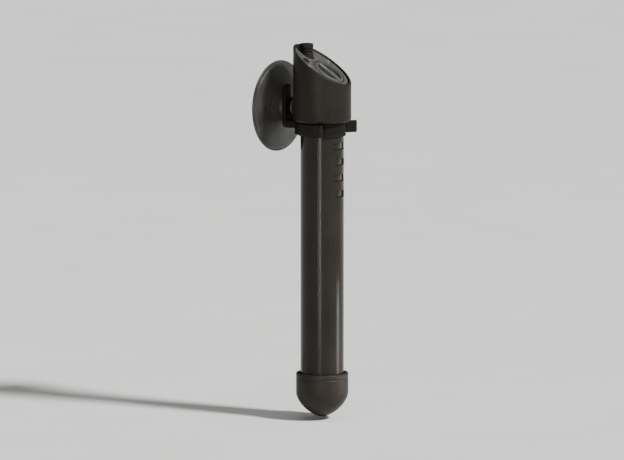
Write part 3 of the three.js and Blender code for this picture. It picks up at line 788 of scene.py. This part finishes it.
POINTER_OUT = -5.4  # the pointer line's two ends, along the grip bar
POINTER_IN = -1.8
POINTER_HALF = 0.28
POINTER_RISE = 0.05


def pointer(ink):
    """The pale line along the dial's grip bar, on the side that points at the scale."""
    line = rounded([
        (POINTER_OUT, -POINTER_HALF, 0.25), (POINTER_IN, -POINTER_HALF, 0.1),
        (POINTER_IN, POINTER_HALF, 0.1), (POINTER_OUT, POINTER_HALF, 0.25),
    ])
    made = as_object("dial_pointer", prism(line, DIAL_TOP - INK_SUNK, DIAL_TOP + POINTER_RISE))
    made.data.transform(DIAL_METRES)
    dressed(made, ink, "dial", "dial")


NUMERALS = (("24", -58), ("28", 58))  # degrees Celsius, and where round the scale
NUMERAL_SIZE = 1.9
NUMERAL_HALF_THICK = 0.03
NUMERAL_OUT = 3.85  # from the well's edge
WELD = 0.001  # points closer than this are one


def solid_text(text, size, half_thick):
    """A closed mesh of upright text, in metres, centred on the origin."""
    curve = bpy.data.curves.new("numeral", "FONT")
    curve.body = text
    curve.size = size * MM
    curve.extrude = half_thick * MM
    curve.align_x = "CENTER"
    curve.align_y = "CENTER"
    letter = bpy.data.objects.new("numeral", curve)
    bpy.context.scene.collection.objects.link(letter)
    graph = bpy.context.evaluated_depsgraph_get()
    mesh = bpy.data.meshes.new_from_object(letter.evaluated_get(graph))
    bpy.data.objects.remove(letter)
    bm = bmesh.new()
    bm.from_mesh(mesh)
    bmesh.ops.remove_doubles(bm, verts=bm.verts, dist=WELD * MM)
    bm.to_mesh(mesh)
    bm.free()
    return mesh


def numerals(ink):
    """Two generic temperatures beside the scale."""
    out = WELL_R + NUMERAL_OUT
    for text, turn in NUMERALS:
        mesh = solid_text(text, NUMERAL_SIZE, NUMERAL_HALF_THICK)
        made = bpy.data.objects.new("numeral_" + text, mesh)
        bpy.context.scene.collection.objects.link(made)
        angle = pi + radians(turn)
        x, y, z = DIAL_S + out * cos(angle), out * sin(angle), NUMERAL_HALF_THICK - PLATE_SINK
        spot = Matrix.Translation((x * MM, y * MM, z * MM))
        mesh.transform(FACE_METRES @ spot @ Matrix.Rotation(pi / 2, 4, "Z"))
        dressed(made, ink, "heater", "face")


RIB_PITCH = 1.15
RIB_DEPTH = 0.45
RIB_SLOPE = 0.25
RIB_START = 4.9  # from the rim's middle up to the lowest rib
RIB_PLAIN = 1.0  # left without ribs at the mouth


def gland():
    """The rubber gland: a ribbed sleeve with a rolled mouth and a blind bore."""
    low, high = gland_low.z, gland_high.z
    bore_end = high - GLAND_BORE_DEPTH
    outline = [(0, low, 0), (GLAND_R, low, 0.1)]
    z = RIM_Z + RIB_START
    while z + RIB_PITCH < high - RIB_PLAIN:
        outline += [
            (GLAND_R, z, 0.2), (GLAND_R - RIB_DEPTH, z + RIB_SLOPE, 0.15),
            (GLAND_R - RIB_DEPTH, z + 2 * RIB_SLOPE, 0.15), (GLAND_R, z + 3 * RIB_SLOPE, 0.2),
        ]
        z += RIB_PITCH
    outline += [
        (GLAND_R, high, 0.6), (GLAND_BORE_R, high, 0.35), (GLAND_BORE_R, bore_end, 0.2), (0, bore_end, 0),
    ]
    place = HEATER @ Matrix.Translation((GLAND_X, 0, 0))
    made = as_object("gland_sleeve", moved(revolved(rounded(outline), even_angles(72)), place))
    return dressed(made, MATERIALS["gland_rubber"], "heater", "gland_rubber", "cable_gland")


def lens():
    """The pilot lamp's window: a domed red pin."""
    top = -PLATE_SINK
    outline = [
        (0, LENS_BOTTOM, 0), (LENS_R, LENS_BOTTOM, 0.1), (LENS_R, top + 0.1, 0.12),
        (LENS_R - 0.25, top + 0.35, 0.2), (0, top + 0.55, 0),
    ]
    place = Matrix.Translation((lens_middle.x, lens_middle.y, 0))
    bm = moved(revolved(rounded(outline), even_angles(48)), place)
    made = as_object("lens_dome", moved(bm, FACE))
    return dressed(made, MATERIALS["lens"], "heater", "lens", "pilot_lens")


# ---------------------------------------------------------------- cup, liner and holder


CUP_SEAL = 4.5  # the width of the flat sealing ring
CUP_LIFT = 0.7  # how far the face between the ring and the pad stands off the glass
CUP_SHOULDER = 5.9  # where the neck starts
NECK_R = 2.4


def cup():
    """The suction cup as it lies on the glass: thin lip, stepped back, neck and mushroom end."""
    far = cup_high.x
    rim = CUP_R - CUP_SEAL
    sealing_side = [
        (0, 0, 0), (3, 0, 0.2), (4.2, CUP_LIFT, 0.4), (rim - 1.4, CUP_LIFT, 0.6), (rim, 0, 0.3),
        (CUP_R - 0.2, 0, 0.1),
    ]
    lip = [
        (CUP_R, 0.3, 0.15), (CUP_R - 0.15, 0.8, 0.2), (CUP_R - 1.3, 0.95, 0.2), (CUP_R - 1.7, 1.2, 0.25),
    ]
    back = [
        (rim, 1.75, 1), (9.4, 3.0, 2), (6.2, 4.3, 0.8), (5.4, 4.7, 0.3), (4.9, 5.3, 0.4),
        (4.4, CUP_SHOULDER, 0.3),
    ]
    neck = [
        (NECK_R, CUP_SHOULDER, 0.15), (NECK_R, far - 1.1, 0.15), (NECK_R + 1.2, far - 1.1, 0.2),
        (NECK_R + 0.9, far - 0.3, 0.3), (NECK_R - 0.4, far, 0.2), (0, far, 0),
    ]
    outline = sealing_side + lip + back + neck
    made = as_object("cup_skin", moved(revolved(rounded(outline, 5), even_angles(144)), CUP))
    return dressed(made, MATERIALS["cup"], "suction", "cup", "suction_cup")


BEAD_WIDTH = 0.5
BEAD_RISE = 0.15
BEAD_SLOPE = 0.2


def liner():
    """The soft ring in the clip, with a small bead at each end."""
    low, high = liner_low.z, liner_high.z
    inner = TUBE_R + FIT
    outline = [
        (inner, low, 0.15),
        (LINER_R, low, 0.2),
        (LINER_R, low + BEAD_WIDTH, 0.1),
        (LINER_R - BEAD_RISE, low + BEAD_WIDTH + BEAD_SLOPE, 0.1),
        (LINER_R - BEAD_RISE, high - BEAD_WIDTH - BEAD_SLOPE, 0.1),
        (LINER_R, high - BEAD_WIDTH, 0.1),
        (LINER_R, high, 0.2),
        (inner, high, 0.15),
    ]
    made = as_object("liner_ring", moved(revolved(rounded(outline)), HEATER))
    return dressed(made, MATERIALS["liner_rubber"], "liner", "liner_rubber", "clip_liner")


CLIP = {
    "inner": 10.5,
    "outer": 11.7,
    "low": -10.5,
    "high": -5.35,
    "opening": 54,  # degrees from the opening's middle to each end of the clip
    "lip": 5.2,
    "lip_width": 1.9,
    "lip_turn": 4,  # degrees from the end of the clip to its lip's middle
    "lip_root": 0.3,  # how far out from the clip's inside the lip starts
}
PLATE = {
    "near": 6.2,
    "far": 8.2,
    "half": 6,
    "low": -8.9,
    "top": 10,
    "corner": 3.5,
    "hole": 2.7,
    "slot": 4.2,
}
ARM = {
    "narrower": 1,  # than the plate, on each side
    "raised": 0.4,  # from the plate's lower edge
    "into_plate": 0.5,
    "short_of_liner": 0.6,
}


def clip_lip(side):
    """One of the two lips that guide the tube into the clip."""
    length, width, turn = CLIP["lip"], CLIP["lip_width"], radians(CLIP["opening"] + CLIP["lip_turn"])
    blade = rounded([
        (0, -width / 2, 0.1), (length, -width / 2, 0.9), (length, width / 2, 0.9), (0, width / 2, 0.1),
    ], 6)
    outward = Matrix.Translation((CLIP["inner"] + CLIP["lip_root"], 0, 0))
    return moved(prism(blade, CLIP["low"], CLIP["high"]), Matrix.Rotation(side * turn, 4, "Z") @ outward)


def holder():
    """The holder: upright plate with its keyhole, an arm, and the open clip with rolled lips."""
    inner, outer, opening, high = CLIP["inner"], CLIP["outer"], CLIP["opening"], CLIP["high"]
    near, far, half, low, top = PLATE["near"], PLATE["far"], PLATE["half"], PLATE["low"], PLATE["top"]
    to_axis = Matrix.Translation((AXIS_X, 0, 0))
    ring = arc(0, 0, outer, opening, 360 - opening, 90) + arc(0, 0, inner, 360 - opening, opening, 90)
    made = as_object("holder_moulding", moved(prism([p[:2] for p in ring], CLIP["low"], high), to_axis))
    corner = PLATE["corner"]
    upright = rounded([
        (-half, low, corner), (half, low, corner), (half, top, corner), (-half, top, corner),
    ], 8)
    facing = Matrix(((0, 0, 1, 0), (1, 0, 0, 0), (0, 1, 0, 0), (0, 0, 0, 1)))  # Z away from the glass
    plate = moved(prism(upright, near, far), facing)
    start, end = far - ARM["into_plate"], AXIS_X - inner - ARM["short_of_liner"]
    width = half - ARM["narrower"]
    arm = prism([(start, -width), (end, -width), (end, width), (start, width)], low + ARM["raised"], high)
    joined(made, plate, arm, *(moved(clip_lip(side), to_axis) for side in (-1, 1)))
    hole = moved(prism(circle(PLATE["hole"]), near - 1, far + 1), facing)
    slot = PLATE["slot"] / 2
    opened = [(-slot, 0), (slot, 0), (slot, top + 1), (-slot, top + 1)]
    cut(made, hole, moved(prism(opened, near - 1, far + 1), facing))
    melted(made, voxel=0.22, smooth=5)
    return dressed(made, MATERIALS["holder"], "holder", "holder", "holder_bracket")


# ---------------------------------------------------------------- stage


def towards(azimuth, elevation):
    """The direction from the heater to something seen at an azimuth and elevation."""
    a, e = radians(azimuth), radians(elevation)
    return Vector((sin(a) * cos(e), -cos(a) * cos(e), sin(e)))


def camera(azimuth, elevation, distance, focal):
    """A far, long-lens camera that looks at the middle of the heater."""
    back = towards(azimuth, elevation)
    middle = (cad_box[0] + cad_box[1]) / 2
    data = bpy.data.cameras.new("camera")
    data.lens = focal
    data.clip_end = 50
    made = bpy.data.objects.new("camera", data)
    made.location = middle + back * distance
    made.rotation_euler = back.to_track_quat("Z", "Y").to_euler()
    bpy.context.scene.collection.objects.link(made)
    bpy.context.scene.camera = made


def light(name, kind, back, distance, middle, **settings):
    """A lamp that stands off from a middle and faces it."""
    data = bpy.data.lights.new(name, kind)
    for key, value in settings.items():
        setattr(data, key, value)
    made = bpy.data.objects.new(name, data)
    made.location = middle + back * distance
    made.rotation_euler = back.to_track_quat("Z", "Y").to_euler()
    bpy.context.scene.collection.objects.link(made)
    return made


def softbox(name, azimuth, elevation, distance, size, power):
    """A rectangular area light that faces the heater's middle."""
    middle = (cad_box[0] + cad_box[1]) / 2
    panel = {"shape": "RECTANGLE", "size": size[0], "size_y": size[1], "energy": power}
    light(name, "AREA", towards(azimuth, elevation), distance, middle, **panel)


def standing_strip(name, azimuth, distance, width, height, power):
    """An upright light that stands on the floor. The tube reflects it, and the camera can't see it."""
    foot_of_strip = Vector((AXIS_X * MM, 0, cad_box[0].z + height / 2))
    panel = {"shape": "RECTANGLE", "size": width, "size_y": height, "energy": power, "spread": radians(30)}
    light(name, "AREA", towards(azimuth, 0), distance, foot_of_strip, **panel).visible_camera = False


def sun(azimuth, elevation, strength, spread):
    """The main light. Its spread, in degrees, softens the shadow."""
    light("sun", "SUN", towards(azimuth, elevation), 2, Vector(), energy=strength, angle=radians(spread))


def floor():
    """A plain pale floor just under the heater."""
    n = Nodes("pale_floor")
    n.into("Base Color", n.mixed(n.noise(6, 4), colour(0.80, 0.80, 0.785), colour(0.84, 0.84, 0.825)))
    n.into("Roughness", n.ranged(n.noise(20, 3), 0.3, 0.7, 0.6, 0.75))
    bm = bmesh.new()
    bmesh.ops.create_grid(bm, x_segments=4, y_segments=4, size=30 / MM)
    made = as_object("floor", moved(bm, Matrix.Translation((0, 0, cad_box[0].z / MM - 1))))
    made.data.materials.append(n.material)


def world(strength):
    """A dim, even surround."""
    made = bpy.data.worlds.new("studio")
    made.use_nodes = True
    made.node_tree.nodes["Background"].inputs["Color"].default_value = colour(1.0, 0.99, 0.97)
    made.node_tree.nodes["Background"].inputs["Strength"].default_value = strength
    bpy.context.scene.world = made


# ---------------------------------------------------------------- the scene


def dress_cad_nodes():
    """Gives every CAD node the material of its slot."""
    slot_of = {row["node"]: row["material_slot"] for row in frame["record"]["subparts"]}
    for name, node in frame["nodes"].items():
        node.data.materials.clear()
        node.data.materials.append(MATERIALS[slot_of[name]])


camera(azimuth=35, elevation=8, distance=2.85, focal=385)
sun(azimuth=96, elevation=44, strength=5.7, spread=8)
softbox("top", azimuth=35, elevation=80, distance=1.2, size=(0.9, 0.9), power=3)
standing_strip("line", azimuth=24, distance=0.26, width=0.010, height=0.22, power=0.015)
standing_strip("edge", azimuth=127, distance=0.13, width=0.05, height=0.04, power=0.004)
floor()
world(0.16)

dress_cad_nodes()

ink = printed_ink()
head_shell()
casing()
foot()
face_panel()
dial_knob()
ticks(ink)
pointer(ink)
numerals(ink)
gland()
lens()
cup()
liner()
holder()
